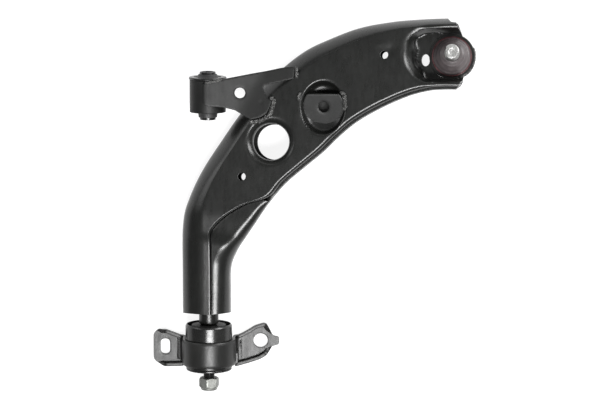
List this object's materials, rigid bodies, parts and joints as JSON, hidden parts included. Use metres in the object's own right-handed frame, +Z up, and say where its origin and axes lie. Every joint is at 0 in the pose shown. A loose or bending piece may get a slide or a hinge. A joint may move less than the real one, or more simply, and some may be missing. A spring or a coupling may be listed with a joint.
{
  "type": "suspension control arm",
  "caption": "Pressed-steel lower control arm with a pinch-bolt ball joint, a horizontal front bush and a rear bush held by a bolt-on bracket.",
  "frame": {"origin": "centre of the bounding box at its base, where the arm lies on a floor", "axes": "+Y towards the vehicle's front, +X outboard towards the ball joint, +Z up with the ball stud"},
  "size_m": [0.3916, 0.4578, 0.0813],
  "materials": {
    "arm_paint": "satin",
    "dark_steel": "satin",
    "bright_steel": "satin",
    "zinc": "satin",
    "rubber": "matte",
    "boot_rubber": "matte",
    "liner": "matte"
  },
  "bodies": {
    "arm": {"upper_shell": "arm_paint", "lower_shell": "arm_paint", "front_bracket": "arm_paint", "front_eye": "arm_paint", "front_bush_outer_sleeve": "dark_steel", "front_bush_rubber": "rubber", "link_plate": "arm_paint", "bracket_weld_seam": "arm_paint", "bracket_weld_tip": "arm_paint", "link_weld_left": "arm_paint", "link_weld_right": "arm_paint", "ball_joint_housing": "dark_steel", "housing_cap": "dark_steel", "ball_seat": "liner", "boot": "boot_rubber", "boot_lower_ring": "bright_steel", "rear_spindle": "arm_paint", "rear_bush_front_washer": "dark_steel", "rear_bush_inner_sleeve": "dark_steel", "rear_bush_rubber": "rubber", "rear_washer": "dark_steel"},
    "front_sleeve": {"front_bush_inner_sleeve": "dark_steel"},
    "rear_mount": {"rear_bracket": "arm_paint", "rear_bush_cup": "dark_steel"},
    "nut": {"rear_nut": "zinc"},
    "stud_swinger": {"boot_upper_ring": "bright_steel"},
    "stud": {"ball_stud": "bright_steel"}
  },
  "joints": [
    {"name": "front_bush_twist", "type": "hinge", "parent": "arm", "child": "front_sleeve", "pos_m": [-0.1268, 0.13434, 0.02357], "axis": [0, 0.9998, -0.0192], "range_deg": [-25, 25], "stiffness_Nm_per_rad": 60},
    {"name": "rear_bush_twist", "type": "hinge", "parent": "arm", "child": "rear_mount", "pos_m": [-0.1268, -0.1746, 0.0295], "axis": [0, 0.9998, -0.0192], "range_deg": [-20, 20], "stiffness_Nm_per_rad": 90},
    {"name": "nut_run", "type": "slide", "parent": "arm", "child": "nut", "axis": [0, 0.9998, -0.0192], "range_m": [0, 0.0066]},
    {"name": "stud_swing", "type": "hinge", "parent": "arm", "child": "stud_swinger", "pos_m": [0.16916, 0.18122, 0.02312], "axis": [0, 0.986, -0.1668], "range_deg": [-27, 21], "deforming": ["boot"]},
    {"name": "stud_spin", "type": "hinge", "parent": "stud_swinger", "child": "stud", "pos_m": [0.16916, 0.18122, 0.02312], "axis": [-0.0681, 0.2315, 0.9705], "continuous": true}
  ]
}
